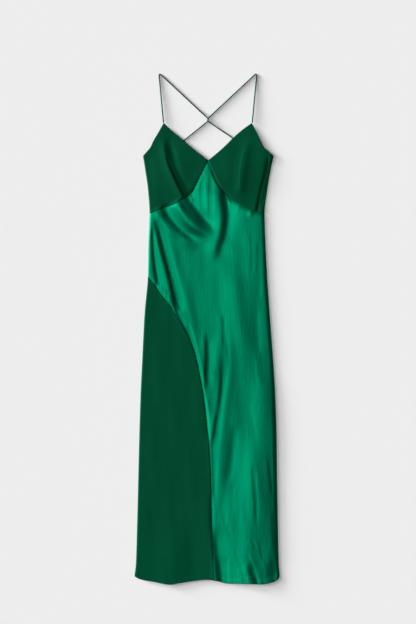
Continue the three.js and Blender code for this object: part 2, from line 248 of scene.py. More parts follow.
# Wave of the hem: place across, height
HEM = [
    (-203.3, -691.6),
    (-190, -699.4),
    (-148, -707.8),
    (-103, -715.2),
    (-68, -709.8),
    (2, -701.7),
    (28, -705.4),
    (55, -712.2),
    (118, -713),
    (152, -714.6),
    (184, -708.6),
    (197.6, -701.8),
    (203.6, -691.6),
]

# Swell of each cup over the bust: across, height, rise, reach
CUP_SWELLS = [
    (-92, 436, 3.6, 52),
    (96, 436, 3.6, 52),
    (-36, 318, 3.8, 46),
]

# Largest folds, on the lines that the solids have: head, bend, foot, width, rise, lead, tail
FOLDS = [
    ((-123, 540), (-107, 459), (-62, 360), 13, 2, 50, 24),
    ((-106, 552), (-90, 459), (-44, 366), 11, -2.6, 60, 14),
    ((116, 540), (103, 459), (90, 366), 12, 1.8, 50, 30),
    ((177, 474), (167, 404), (151, 330), 9, -2.6, 16, 30),
    ((8, 470), (22, 347), (34, 205), 30, 2.0, 60, 70),
    ((-52, 374), (-30, 328), (6, 272), 17, -1.0, 14, 34),
    ((-92, 352), (-68, 300), (-1, 254), 10, 0.6, 14, 24),
    ((-118, 344), (-90, 286), (-30, 242), 12, -0.3, 12, 24),
    ((-141, 332), (-116, 288), (-78, 246), 9, 1.1, 12, 24),
    ((-145, 326), (-104, 171), (-73, 44), 10, -2.8, 60, 20),
    ((-130, 310), (-78, 143), (-28, -34), 15, 0.7, 40, 50),
    ((-152, 296), (-146, 199), (-132, 108), 8, -1.6, 40, 20),
    ((51, 396), (58, 305), (31, 214), 13, -1.7, 30, 60),
    ((104, 346), (80, 277), (43, 190), 20, 0.6, 16, 50),
    ((78, 160), (85, 53), (100, -70), 22, 0.9, 50, 60),
    ((1, -8), (2, -87), (-2, -160), 9, -0.6, 40, 30),
    ((37, 0), (22, -101), (16, -214), 11, 0.5, 50, 50),
    ((45, -50), (42, -185), (23, -345), 11, -0.6, 60, 50),
    ((72, -90), (51, -241), (31, -480), 11, 0.3, 60, 80),
    ((80, -260), (71, -353), (55, -445), 13, -1.0, 40, 40),
    ((127, -300), (133, -507), (122, -760), 38, 2.2, 90, 40),
    ((162, -120), (170, -420), (176, -700), 23, 1.0, 60, 40),
    ((127, -380), (135, -456), (140, -548), 9, -0.35, 30, 30),
    ((139, -390), (151, -479), (151, -612), 11, 0.3, 30, 40),
    ((117, -660), (132, -690), (149, -760), 13, -0.8, 24, 10),
    ((36, -430), (42, -600), (50, -760), 56, 2.0, 130, 10),
    ((-96, -520), (-100, -660), (-104, -780), 34, 2.2, 120, 10),
]


def curve_through(table, value=1):
    """A smooth curve through a table's first column and another one, which overshoots no row."""
    rows = sorted((row[0], row[value]) for row in table)
    keys = np.array([row[0] for row in rows], float)
    values = np.array([row[1] for row in rows], float)
    steps = np.diff(keys)
    slopes = np.diff(values) / steps
    tangents = np.zeros(len(keys))
    tangents[0] = slopes[0]
    tangents[-1] = slopes[-1]
    for i in range(1, len(slopes)):
        if slopes[i - 1] * slopes[i] > 0:
            before = 2 * steps[i] + steps[i - 1]
            after = steps[i] + 2 * steps[i - 1]
            tangents[i] = (before + after) / (before / slopes[i - 1] + after / slopes[i])

    def at(place):
        k = np.clip(place, keys[0], keys[-1])
        i = np.clip(np.searchsorted(keys, k) - 1, 0, len(steps) - 1)
        t = (k - keys[i]) / steps[i]
        bulge = t * (1 - t)
        to_start = bulge * (1 - t) * tangents[i] * steps[i]
        to_end = -bulge * t * tangents[i + 1] * steps[i]
        share = t * t * (3 - 2 * t)
        return values[i] + (values[i + 1] - values[i]) * share + to_start + to_end

    return at


def smooth(t):
    """From 0 to 1 with level ends."""
    t = np.clip(t, 0, 1)
    return t * t * (3 - 2 * t)


left_side = curve_through(SIDES, 1)
right_side = curve_through(SIDES, 2)
left_cup_seam = curve_through(CUP_SEAMS, 1)
right_cup_seam = curve_through(CUP_SEAMS, 2)
skirt_seam = curve_through(SKIRT_SEAM, 1)
hem = curve_through(HEM, 1)


def fold_place(fold, x, y):
    """How far off a fold's line each point is, in widths, and how far it has faded at its ends."""
    head, bend, foot, width, _, lead, tail = fold
    length = head[1] - foot[1]
    along = (head[1] - y) / length
    at_bend = (head[1] - bend[1]) / length
    bow = (bend[0] - (head[0] + (foot[0] - head[0]) * at_bend)) / (at_bend * (1 - at_bend))
    line = head[0] + (foot[0] - head[0]) * along + bow * along * (1 - along)
    lean = (foot[0] - head[0] + bow * (1 - 2 * along)) / length
    off = (x - line) / np.hypot(1, lean) / width
    ends = smooth((head[1] - y) / lead) * smooth((y - foot[1]) / tail)
    return off, ends


def drape(x, y):
    """Underside of the front above the floor."""
    inside = np.maximum(0, np.minimum((x - left_side(y)) * LEFT_EDGE_SHARPER, right_side(y) - x))
    edge = 1 - (1 - np.minimum(inside / EDGE_ROUND, 1)) ** 2
    loft = SKIRT_LOFT + (BODICE_LOFT - SKIRT_LOFT) * smooth((y - LOFT_FROM) / LOFT_OVER)
    loft = loft * (1 - DROOP_SHARE * smooth((y - DROOP_FROM) / DROOP_OVER))
    for across, height, rise, reach in CUP_SWELLS:
        away = np.hypot(x - across, y - height) / reach
        loft = loft + rise * np.exp(-away * away)
    for fold in FOLDS:
        off, ends = fold_place(fold, x, y)
        loft = loft + fold[4] * ends * np.exp(-off * off)
    return CLOTH + LAYER_GAP + edge * np.maximum(loft, 0)


def smooth_top(x, y):
    """Top of the front with its largest folds alone."""
    return drape(x, y) + CLOTH


def bend_to_hem(x, y):
    """Rows near the hem bend down to its wave."""
    return y + (hem(x) - HEM_LEVEL) * smooth(1 - (y - HEM_LEVEL) / HEM_BEND)


# Points on each drawn line of the pattern
LINE_STEPS = 160


def line_between(top, bottom, across):
    """Points down a seam from one height to another."""
    y = np.linspace(top, bottom, LINE_STEPS)
    x = across(y)
    return np.column_stack([x, bend_to_hem(x, y)])


def hem_between(left, right):
    """Points along the hem."""
    x = np.linspace(left, right, LINE_STEPS)
    return np.column_stack([x, hem(x)])


# Heights of the cups' lower edge, the point of the V, the underarms, the straps and the panel's tip, and
# the place across where the panel's seam meets the hem
BUST_LEVEL = 322
POINT_LEVEL = 471.5
UNDERARM_LEVEL = 484.4
STRAP_LEVEL = 577
SKIRT_POINT_LEVEL = 147
SEAM_END = 21

necks = {
    "left": line_between(STRAP_LEVEL, POINT_LEVEL, curve_through(NECKLINE, 1)),
    "right": line_between(STRAP_LEVEL, POINT_LEVEL, curve_through(NECKLINE, 2)),
}
armholes = {
    "left": line_between(STRAP_LEVEL, UNDERARM_LEVEL, curve_through(ARMHOLES, 1)),
    "right": line_between(STRAP_LEVEL, UNDERARM_LEVEL, curve_through(ARMHOLES, 2)),
}
cup_seams = {
    "left": line_between(POINT_LEVEL, BUST_LEVEL, left_cup_seam),
    "right": line_between(POINT_LEVEL, BUST_LEVEL, right_cup_seam),
}
cup_sides = {
    "left": line_between(UNDERARM_LEVEL, BUST_LEVEL, left_side),
    "right": line_between(UNDERARM_LEVEL, BUST_LEVEL, right_side),
}
panel_seam = line_between(SKIRT_POINT_LEVEL, HEM_LEVEL, skirt_seam)
whole_sides = {
    "left": line_between(UNDERARM_LEVEL, HEM_LEVEL, left_side),
    "right": line_between(UNDERARM_LEVEL, HEM_LEVEL, right_side),
}
whole_hem = hem_between(HEM[0][0], HEM[-1][0])


def beside(line, x, y, reach):
    """How far right of a line each point is, as one looks down it, and how far along.

    Points further off than reach get reach."""
    off = np.full(x.shape, float(reach))
    run = np.zeros(x.shape)
    low = line.min(0) - reach
    high = line.max(0) + reach
    near = (x > low[0]) & (x < high[0]) & (y > low[1]) & (y < high[1])
    px, py = x[near], y[near]
    best, where = off[near], run[near]
    done = 0.0
    for a, b in zip(line[:-1], line[1:]):
        step = b - a
        length = math.hypot(*step)
        t = np.clip(((px - a[0]) * step[0] + (py - a[1]) * step[1]) / length**2, 0, 1)
        gap = np.hypot(px - a[0] - t * step[0], py - a[1] - t * step[1])
        side = np.where(step[0] * (py - a[1]) - step[1] * (px - a[0]) < 0, -1, 1)
        closer = gap < np.abs(best)
        best = np.where(closer, gap * side, best)
        where = np.where(closer, done + t * length, where)
        done += length
    off[near] = best
    run[near] = where
    return off, run


def from_photo(place):
    """The plan place of a pixel of the photograph, which is seen square on."""
    return (place[0] - ORIGIN_PIXEL[0]) * PIXEL / MM, (ORIGIN_PIXEL[1] - place[1]) * PIXEL / MM


# Creases too fine for the solids, given in pixels of the photograph. One flank of each is in
# shade: it falls to the right of the line where the drop is above 0, and rises where it is below.
# Places down the line, then in mm width, drop, lead, tail
CUP_CREASES = [
    ([(164, 138), (166, 150), (170, 164), (177, 181), (185, 197)], 4.6, 1.4, 50, 4),
    ([(152, 150), (153, 180), (155, 205)], 12, -0.5, 30, 20),
    ([(268, 150), (264, 172), (259, 200), (256, 213)], 6, 0.5, 40, 6),
    ([(238, 140), (232, 165), (230, 190)], 12, 0.5, 40, 20),
]
SATIN_CREASES = [
    ([(181, 188), (186.4, 200), (191.4, 207), (196, 213), (201, 219), (209, 227), (219, 238)],
     9, 4.3, 30, 76),
    ([(175, 194), (181.5, 205), (186.5, 211), (191.5, 217), (198, 223.5), (207, 231), (219, 243)],
     9, 3.9, 30, 84),
    ([(157, 198), (161, 206), (165, 214.5), (170.5, 222), (178, 230), (188, 238), (201, 246)],
     8.5, 3.6, 30, 50),
    ([(154, 214), (156.5, 230), (162, 250), (168, 270), (173.3, 293), (176, 309)], 5.4, 2.5, 110, 22),
    ([(151.5, 224), (152.5, 245), (154, 265), (157.5, 286)], 3.2, 0.9, 30, 10),
    ([(160, 226), (168, 252), (177, 278), (188, 310), (196, 346)], 6, -0.3, 40, 30),
    ([(219.5, 186), (222.5, 200), (224.7, 217), (223, 233), (218, 250), (214, 264)], 8.4, 3.2, 30, 50),
    ([(232.5, 203), (233.5, 216), (231, 232), (225, 250)], 13, 0.6, 10, 30),
    ([(208, 180), (211.5, 200), (214, 218), (214, 236)], 12, 0.5, 20, 30),
    ([(226, 196), (228.5, 203), (230, 211)], 2.6, -0.5, 8, 12),
    ([(201, 178), (200, 195), (201.5, 215)], 2.6, 0.3, 20, 20),
    ([(205.5, 170), (204.5, 190), (206.5, 222)], 2.6, -0.3, 20, 30),
    ([(209.5, 172), (208.5, 196), (209, 220)], 2.4, 0.3, 20, 30),
    ([(213, 178), (213.5, 200), (213, 235)], 3, -0.25, 20, 30),
    ([(173.4, 305), (176.6, 313), (181, 322), (186, 331), (191.6, 342)], 3, 1.2, 14, 24),
    ([(228, 262), (229, 300), (231, 335), (233, 365), (236, 410)], 24, -0.4, 90, 90),
    ([(249, 228), (251, 250), (250, 276)], 4, 0.22, 30, 30),
    ([(256.5, 240), (257, 258), (256, 275)], 3, 0.2, 20, 20),
    ([(262, 236), (261.5, 270), (261.5, 305)], 4, -0.25, 40, 40),
    ([(258.5, 304), (259.5, 330), (261, 358)], 7.5, -0.5, 40, 40),
    ([(221.8, 312), (222.4, 330), (223, 350)], 4, 0.5, 20, 34),
    ([(205.4, 328), (206.3, 348), (206.4, 364), (204.6, 392)], 4.8, 1.4, 60, 40),
    ([(213, 322), (212.4, 355), (211.4, 385), (210, 420)], 13, 0.5, 40, 40),
    ([(223, 344), (221, 368), (220, 392), (217.5, 410), (214.3, 428), (211.5, 450)], 4.2, 0.7, 120, 40),
    ([(221, 374), (220, 390), (218.5, 405)], 3, 0.35, 24, 16),
    ([(216.5, 412), (214.5, 426), (212.5, 442)], 3.2, 0.7, 16, 20),
    ([(226, 326), (229, 345), (229.5, 363), (226.4, 385), (222.6, 408), (219, 445), (214.5, 510)],
     4.2, -0.25, 60, 60),
    ([(205, 396), (207.3, 412), (209.3, 436)], 3, -0.8, 20, 20),
    ([(189, 322), (196, 345), (201, 368), (204.5, 388)], 2.6, -0.5, 20, 20),
    ([(250, 398), (254, 420), (259, 445)], 5, -0.25, 40, 40),
    ([(254, 352), (256, 370), (259, 392)], 4, -0.2, 30, 30),
    ([(209.8, 432), (211.2, 452), (212.4, 480), (213.2, 508)], 4.2, 1.3, 40, 50),
    ([(231, 430), (227, 468), (219, 522)], 9, 0.45, 80, 80),
    ([(248, 340), (249, 380), (249, 430), (245, 475), (241, 520), (240, 592)], 26, -2.2, 200, 2),
    ([(226, 480), (227, 540), (230, 592)], 16, -1.0, 80, 2),
    ([(250, 450), (252.6, 482), (254.6, 504), (254.6, 528)], 4.0, 0.3, 80, 40),
    ([(255.4, 464), (257.4, 496), (258, 532)], 2.6, -0.15, 40, 50),
    ([(267, 454), (269.3, 476), (271.5, 498)], 3.6, 0.6, 36, 30),
    ([(271.6, 508), (272.6, 532), (274, 556)], 3.4, 0.5, 36, 30),
    ([(269.5, 552), (271, 570), (272.5, 592)], 9, 1.3, 36, 2),
    ([(249, 538), (252, 543), (255, 549)], 2.6, 0.5, 8, 8),
    ([(246.5, 562), (250, 572), (253.5, 580), (257, 592)], 6.5, 1.6, 26, 2),
    ([(247, 552), (254, 566), (260, 586)], 3, -0.8, 20, 2),
    ([(212.4, 522), (214, 545), (216.6, 568), (218.6, 592)], 8, 2.6, 60, 2),
    ([(215.8, 554), (218.8, 573), (221, 592)], 6, 1.3, 40, 2),
    ([(226, 524), (227.5, 532), (230, 541)], 2.4, 0.25, 10, 10),
    ([(222, 514), (224, 524), (227, 532)], 2.4, 0.2, 10, 10),
    ([(229, 556), (228, 568), (228.5, 588)], 3, -0.45, 16, 2),
    ([(233, 548), (236, 558), (240, 568)], 2.6, 0.25, 12, 12),
    ([(240, 562), (241, 570), (243, 588)], 3, 0.3, 12, 2),
    ([(257, 540), (260, 550), (262, 562)], 2.6, 0.3, 12, 12),
    ([(263, 556), (266, 566), (269, 578)], 3, 0.3, 14, 10),
    ([(236, 480), (234, 500), (235, 520)], 5, -0.25, 30, 30),
    ([(245, 492), (244, 510), (246, 528)], 4, 0.2, 30, 30),
]
# A crease fades this many widths off its line, and this far into the next piece
CREASE_REACH = 3.5
CREASE_SPREAD = 12

# Short ridges and sharp tucks, in the same way: places, then in mm width, rise, lead, tail
CUP_TUCKS = [
    ([(166.5, 154), (168.5, 162), (173, 172), (178, 183), (184.5, 196)], 3.0, -6.2, 40, 4),
    ([(269, 154), (264.5, 177), (261, 190), (256.8, 212)], 3.1, -5.4, 40, 6),
    ([(246, 146), (241.5, 162), (240, 176), (240.5, 192)], 2.6, 0.5, 30, 30),
]
SATIN_TUCKS = [
    ([(163, 248), (168.5, 270), (173, 292), (175.8, 308)], 2.4, -1.5, 40, 8),
    ([(206, 346), (206.6, 362), (206, 378)], 2.2, -0.5, 16, 8),
    ([(211, 168), (216, 180), (223, 191), (231.5, 201)], 2.4, -1.8, 20, 10),
    ([(208.5, 425), (210, 450), (211.2, 480), (212, 508)], 2.6, -0.5, 30, 30),
    ([(177, 199), (179.5, 207), (182, 213.5), (185.6, 219.5), (191, 225.5), (198, 231.5), (207, 239)],
     9, 2.3, 34, 60),
    ([(156.5, 212), (157.4, 216), (159, 222)], 5.5, 0.4, 3, 14),
    ([(190.2, 195), (191, 198), (193.5, 203)], 3, 0.9, 3, 10),
    ([(230, 200), (229.8, 203), (229, 208)], 2.6, 0.4, 3, 8),
    ([(239, 203.5), (238.4, 208), (236.4, 216)], 6, 0.5, 3, 18),
    ([(251.5, 209.5), (250.6, 213), (248.6, 219)], 7, 1.6, 3, 16),
    ([(158, 279), (158.4, 283), (159, 289)], 2.2, 1.0, 6, 3),
    ([(161, 283), (161.6, 287), (162.4, 293)], 2.2, 1.0, 6, 3),
    ([(164.6, 288), (165.2, 292), (166, 298)], 2.2, 1.0, 6, 3),
    ([(168.4, 294), (169, 297), (169.8, 302)], 2.2, 1.0, 6, 3),
]

# Dip of the cloth into its seams, shallower near the hem, and how wide it is
CUP_GROOVE = 1.2
PANEL_GROOVE = 0.8
SEAM_GROOVE_WIDTH = 2.0
SATIN_GROOVE_WIDTH = 4.5
HEM_GROOVE = 0.3
HEM_GROOVE_FROM = -560
HEM_GROOVE_OVER = 60
# Roll of the side seams and of the turned edges, which never sink into the back
SIDE_TURN = 1.05
SIDE_TURN_WIDTH = 3.0
EDGE_TURN = 0.45
EDGE_TURN_WIDTH = 1.6
LOWEST_TOP = 1.7
# The hem's double turn: its depth, and the step where it ends
HEM_DEPTH = 11
HEM_STEP = 0.3
HEM_STEP_WIDTH = 1.4
# Puckers beside the seams and over the hem. Each wave has a length, a start and a share
PUCKER_REACH = 13
PUCKER_RISE = 0.16
PUCKER_WAVES = ((7.3, 0.4, 1.0), (11.9, 2.1, 0.8), (4.7, 4.0, 0.45))
HEM_PUCKER_REACH = 4 * HEM_DEPTH
HEM_PUCKER_RISE = 0.22
HEM_PUCKER_WAVES = ((17.0, 1.0, 1.0), (27.0, 0.2, 0.8), (9.3, 2.7, 0.4))
# Slow waves of cloth that no iron has quite flattened: turns for each mm across and along, start, rise
UNEVEN_WAVES = ((0.0113, 0.0031, 0.4, 0.2), (0.0171, -0.0017, 1.9, 0.1), (0.0293, 0.0023, 3.1, 0.05))
# Steps between two places of a traced line
TRACE_STEPS = 6


def traced(places):
    """A smooth line in the plan through pixels of the photograph."""
    points = np.array([from_photo(place) for place in places])
    ends = [2 * points[0] - points[1], *points, 2 * points[-1] - points[-2]]
    line = []
    for a, b, c, d in zip(ends, ends[1:], ends[2:], ends[3:]):
        for t in np.linspace(0, 1, TRACE_STEPS, endpoint=False):
            bend = 2 * a - 5 * b + 4 * c - d
            line.append(b + t / 2 * (c - a + t * (bend + t * (3 * b - a - 3 * c + d))))
    return np.array([*line, points[-1]])


def on_line(places, width, lead, tail, x, y):
    """How far right of a traced line each point is, in widths, and how far the line's effect has faded."""
    line = traced(places)
    off, run = beside(line, x, y, CREASE_REACH * 2 * width)
    return off / width, smooth(run / lead) * smooth((length_of(line) - run) / tail)


def creased(creases, tucks, x, y):
    """Rise and fall of the cloth over its creases and tucks."""
    z = np.zeros(x.shape)
    for places, width, drop, lead, tail in creases:
        off, ends = on_line(places, width, lead, tail, x, y)
        z = z - drop * ends * np.tanh(off) * np.exp(-((off / CREASE_REACH) ** 2))
    for places, width, rise, lead, tail in tucks:
        off, ends = on_line(places, width, lead, tail, x, y)
        z = z + rise * ends * np.exp(-off * off)
    return z


def ripple(run, waves):
    """Uneven gathers along a seam, from a few waves of different lengths."""
    total = sum(share for _, _, share in waves)
    return sum(share * np.sin(2 * math.pi * run / length + start) for length, start, share in waves) / total


def front_top(x, y, piece):
    """Top of the front's cloth, with its creases, puckers, seams and turned edges."""
    inside = np.maximum(0, np.minimum((x - left_side(y)) * LEFT_EDGE_SHARPER, right_side(y) - x))
    held = np.minimum(inside / EDGE_ROUND, 1)
    bust = np.minimum(*(np.abs(beside(seam, x, y, 2 * PUCKER_REACH)[0]) for seam in cup_seams.values()))
    of_panel = np.abs(beside(panel_seam, x, y, 2 * PUCKER_REACH)[0])
    to_satin = {"cup": bust, "satin": np.zeros(x.shape), "skirt": of_panel}[piece]
    to_cup = np.zeros(x.shape) if piece == "cup" else bust
    z = smooth_top(x, y)
    z = z + creased(SATIN_CREASES, SATIN_TUCKS, x, y) * held * (1 - smooth(to_satin / CREASE_SPREAD))
    z = z + creased(CUP_CREASES, CUP_TUCKS, x, y) * held * (1 - smooth(to_cup / CREASE_SPREAD))
    for along_x, along_y, start, rise in UNEVEN_WAVES:
        z = z + rise * held * np.sin(2 * math.pi * (along_x * x + along_y * y) + start)
    grooves = (
        (cup_seams["left"], CUP_GROOVE),
        (cup_seams["right"], CUP_GROOVE),
        (panel_seam, PANEL_GROOVE),
    )
    for seam, groove in grooves:
        off, run = beside(seam, x, y, PUCKER_REACH)
        away = np.abs(off)
        z = z + PUCKER_RISE * (1 - smooth(away / PUCKER_REACH)) * held * ripple(run, PUCKER_WAVES)
        depth = groove - (groove - HEM_GROOVE) * smooth((HEM_GROOVE_FROM - y) / HEM_GROOVE_OVER)
        width = SATIN_GROOVE_WIDTH if piece == "satin" else SEAM_GROOVE_WIDTH
        z = z - depth * np.exp(-((away / width) ** 2))
    for side in whole_sides.values():
        away = np.abs(beside(side, x, y, SIDE_TURN_WIDTH)[0])
        z = z - SIDE_TURN * (1 - away / SIDE_TURN_WIDTH) ** 2
    for edge in (*necks.values(), *armholes.values()):
        away = np.abs(beside(edge, x, y, EDGE_TURN_WIDTH)[0])
        z = z - EDGE_TURN * (1 - away / EDGE_TURN_WIDTH) ** 2
    off, run = beside(whole_hem, x, y, HEM_PUCKER_REACH)
    away = np.abs(off)
    z = z - EDGE_TURN * (1 - np.minimum(away / EDGE_TURN_WIDTH, 1)) ** 2
    z = z + HEM_STEP * smooth((HEM_DEPTH + HEM_STEP_WIDTH - away) / HEM_STEP_WIDTH)
    hem_share = 1 - smooth(away / HEM_PUCKER_REACH)
    z = z + HEM_PUCKER_RISE * hem_share * held * ripple(run, HEM_PUCKER_WAVES)
    return np.maximum(z, LOWEST_TOP)


def length_of(line):
    """Length of a line of points."""
    return float(np.hypot(*np.diff(line, axis=0).T).sum())


# Points beside an edge are this far from it, and then a step apart
EDGE_POINTS = (0, 0.5, 1.1, 1.9, 3.0, 4.6)


def shares_of(length, step):
    """Shares of a length, close together beside both ends."""
    near = [point / length for point in EDGE_POINTS if point < length / 3]
    middle = 1 - 2 * near[-1]
    count = max(2, round(middle * length / step))
    inner = [near[-1] + middle * i / count for i in range(1, count)]
    return np.array(near + inner + [1 - share for share in reversed(near)])


def along(line, shares):
    """The points at these shares of a line's length."""
    runs = np.concatenate([[0], np.cumsum(np.hypot(*np.diff(line, axis=0).T))])
    return np.column_stack([np.interp(shares * runs[-1], runs, line[:, i]) for i in (0, 1)])


def four_sided(top, bottom, left, right, steps):
    """Rows of points over a panel between its four edges.

    The top and bottom edges run to the right, and the left and right ones down."""
    across = shares_of(max(length_of(top), length_of(bottom)), steps[0])
    down = shares_of(max(length_of(left), length_of(right)), steps[1])
    u = across[None, :, None]
    v = down[:, None, None]
    edge_top = along(top, across)[None]
    edge_bottom = along(bottom, across)[None]
    edge_left = along(left, down)[:, None]
    edge_right = along(right, down)[:, None]
    top_corners = (1 - u) * top[0] + u * top[-1]
    bottom_corners = (1 - u) * bottom[0] + u * bottom[-1]
    corners = (1 - v) * top_corners + v * bottom_corners
    return (1 - v) * edge_top + v * edge_bottom + (1 - u) * edge_left + u * edge_right - corners


def shell(name, points, underside, top, material):
    """A closed sheet of cloth over rows of points, in metres, with its plan kept as its UV map."""
    rows, columns = points.shape[:2]
    x, y = points[..., 0], points[..., 1]
    layers = [np.dstack([x, y, surface]).reshape(-1, 3) for surface in (underside, top)]
    index = np.arange(rows * columns).reshape(rows, columns)
    a, b, c, d = index[:-1, :-1], index[1:, :-1], index[1:, 1:], index[:-1, 1:]
    above = np.stack([a, b, c, d], -1).reshape(-1, 4) + rows * columns
    below = np.stack([a, d, c, b], -1).reshape(-1, 4)
    rim = np.concatenate([index[0, ::-1], index[1:, 0], index[-1, 1:], index[-2:0:-1, -1]])
    after = np.roll(rim, -1)
    wall = np.stack([rim, after, after + rows * columns, rim + rows * columns], -1)
    vertices = np.concatenate(layers) * MM
    faces = np.concatenate([above, below, wall])
    rounded = [True] * (len(above) + len(below)) + [False] * len(wall)
    mesh = bpy.data.meshes.new(name)
    mesh.from_pydata(vertices.tolist(), [], faces.tolist())
    mesh.materials.append(material)
    mesh.polygons.foreach_set("use_smooth", rounded)
    plan = mesh.uv_layers.new(name="plan")
    corners = np.empty(len(mesh.loops), int)
    mesh.loops.foreach_get("vertex_index", corners)
    plan.data.foreach_set("uv", vertices[corners, :2].ravel())
    mesh.update()
    return link(bpy.data.objects.new(name, mesh))


def front_piece(name, points, piece, material):
    """A piece of the front, a thin sheet under the front's top."""
    x, y = points[..., 0], points[..., 1]
    top = front_top(x, y, piece)
    return shell(name, points, top - SHOWN_CLOTH, top, material)


# Crepe, woven from hard twisted yarn: its fine pebbles scatter the light, so the eye sees a deep matt green
# with hardly any gloss. Real pebbles are about 0.5 mm wide, and are drawn coarser, so that they show. The
# dye is a little uneven, in patches.
CREPE_COLOURS = ("#004029", "#00462E")
GREEN_GLOSS = "#2FBF8A"
CREPE_SHEEN = "#1F9A6A"
PEBBLE_WIDTH = 1.3 * MM
PEBBLE_LENGTH = 2.08 * MM
PEBBLE_DEPTH = 0.25 * MM
DYE_PATCH = 60 * MM


def scaled_noise(tree, place, across, along, detail=2.0):
    """Noise whose grains are so wide and so long, on the object's own coordinates."""
    scale = (1 / across, 1 / along, 1 / across)
    stretch = add_node(tree, "ShaderNodeMapping", {"Vector": place, "Scale": scale})
    return add_node(
        tree,
        "ShaderNodeTexNoise",
        {"Vector": stretch.outputs[0], "Scale": 1.0, "Detail": detail},
        noise_dimensions="3D",
    )


def two_greens(tree, place, colours):
    """The dye, a little uneven from place to place."""
    uneven = scaled_noise(tree, place, DYE_PATCH, DYE_PATCH, 3.0)
    mix = add_node(
        tree,
        "ShaderNodeMix",
        {0: uneven.outputs["Fac"], 6: linear(colours[0]), 7: linear(colours[1])},
        data_type="RGBA",
    )
    return mix.outputs[2]


crepe, tree = new_material("matt_crepe")
place = add_node(tree, "ShaderNodeTexCoord").outputs["Object"]
pebbles = scaled_noise(tree, place, PEBBLE_WIDTH, PEBBLE_LENGTH, 3.0)
crepe_bump = add_node(
    tree,
    "ShaderNodeBump",
    {"Height": pebbles.outputs["Fac"], "Strength": 0.4, "Distance": PEBBLE_DEPTH},
)
crepe_shader = add_node(
    tree,
    "ShaderNodeBsdfPrincipled",
    {
        "Base Color": two_greens(tree, place, CREPE_COLOURS),
        "Roughness": 0.78,
        "IOR": 1.5,
        "Specular IOR Level": 0.18,
        "Specular Tint": linear(GREEN_GLOSS),
        "Sheen Weight": 0.12,
        "Sheen Roughness": 0.45,
        "Sheen Tint": linear(CREPE_SHEEN),
        "Normal": crepe_bump.outputs[0],
    },
)
add_node(tree, "ShaderNodeOutputMaterial", {"Surface": crepe_shader.outputs[0]})

# Steps of the mesh across and along
CUP_STEPS = (1.6, 1.6)

left_cup_points = four_sided(
    armholes["left"][::-1], cup_seams["left"][::-1], cup_sides["left"], necks["left"], CUP_STEPS
)
left_cup = front_piece("left_cup_crepe", left_cup_points, "cup", crepe)
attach(left_cup, "root")
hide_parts("cup_left")

right_cup_points = four_sided(
    armholes["right"], cup_seams["right"], necks["right"], cup_sides["right"], CUP_STEPS
)
right_cup = front_piece("right_cup_crepe", right_cup_points, "cup", crepe)
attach(right_cup, "root")
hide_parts("cup_right")

# The satin front, one long bias-cut piece of the same cloth with its glossy side out. It runs from the
# point of the V to the hem, is eased under the cups, which puckers it there, and lies in soft folds below.
SATIN_STEPS = (2.6, 4.2)

# Filament satin: its long floats mirror the light off dyed threads, so the gloss takes their green and
# runs along the folds. Slight slubs of the yarn streak it along its length. Real floats are about 0.2 mm
# apart, and are drawn coarser, on the bias, so that they show.
SATIN_COLOURS = ("#007553", "#007D5A")
BIAS = 45
FLOAT_PITCH = 1.78 * MM
FLOAT_DEPTH = 0.1 * MM
SLUB_ACROSS = 4 * MM
SLUB_ALONG = 34 * MM
SLUB_DEPTH = 0.27 * MM
# Metres between the bands of a wave texture at a scale of 1
WAVE_PITCH = 2 * math.pi / 20

satin, tree = new_material("filament_satin")
place = add_node(tree, "ShaderNodeTexCoord").outputs["Object"]
slubs = scaled_noise(tree, place, SLUB_ACROSS, SLUB_ALONG)
satin_slubs = add_node(
    tree,
    "ShaderNodeBump",
    {"Height": slubs.outputs["Fac"], "Strength": 1.0, "Distance": SLUB_DEPTH},
)
bias = add_node(tree, "ShaderNodeMapping", {"Vector": place, "Rotation": (0, 0, math.radians(BIAS))})
floats = add_node(
    tree,
    "ShaderNodeTexWave",
    {
        "Vector": bias.outputs[0],
        "Scale": WAVE_PITCH / FLOAT_PITCH,
        "Distortion": 1.5,
        "Detail": 1.0,
        "Detail Scale": 2.0,
    },
    wave_type="BANDS",
    bands_direction="X",
)
satin_weave = add_node(
    tree,
    "ShaderNodeBump",
    {
        "Height": floats.outputs["Fac"],
        "Strength": 0.12,
        "Distance": FLOAT_DEPTH,
        "Normal": satin_slubs.outputs[0],
    },
)
satin_shader = add_node(
    tree,
    "ShaderNodeBsdfPrincipled",
    {
        "Base Color": two_greens(tree, place, SATIN_COLOURS),
        "Metallic": 0.95,
        "Roughness": 0.5,
        "IOR": 1.54,
        "Specular IOR Level": 0.35,
        "Specular Tint": linear(GREEN_GLOSS),
        "Anisotropic": 0.35,
        "Sheen Weight": 0.08,
        "Sheen Tint": linear(GREEN_GLOSS),
        "Normal": satin_weave.outputs[0],
    },
)
add_node(tree, "ShaderNodeOutputMaterial", {"Surface": satin_shader.outputs[0]})

satin_top = np.concatenate([cup_seams["left"][::-1], cup_seams["right"][1:]])
satin_left = np.concatenate([line_between(BUST_LEVEL, SKIRT_POINT_LEVEL, left_side), panel_seam[1:]])
satin_right = line_between(BUST_LEVEL, HEM_LEVEL, right_side)
satin_bottom = hem_between(SEAM_END, HEM[-1][0])
satin_points = four_sided(satin_top, satin_bottom, satin_left, satin_right, SATIN_STEPS)
satin_front = front_piece("front_satin", satin_points, "satin", satin)
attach(satin_front, "root")
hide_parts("satin_front")

# The crepe panel of the skirt, the left side from hip to hem, cut with its matt side out. It is sewn to the
# satin along one long curve and to the back at the side, and lies nearly flat.
CREPE_STEPS = (3, 4.5)
# Width of the panel at its tip
PANEL_POINT = 1.0

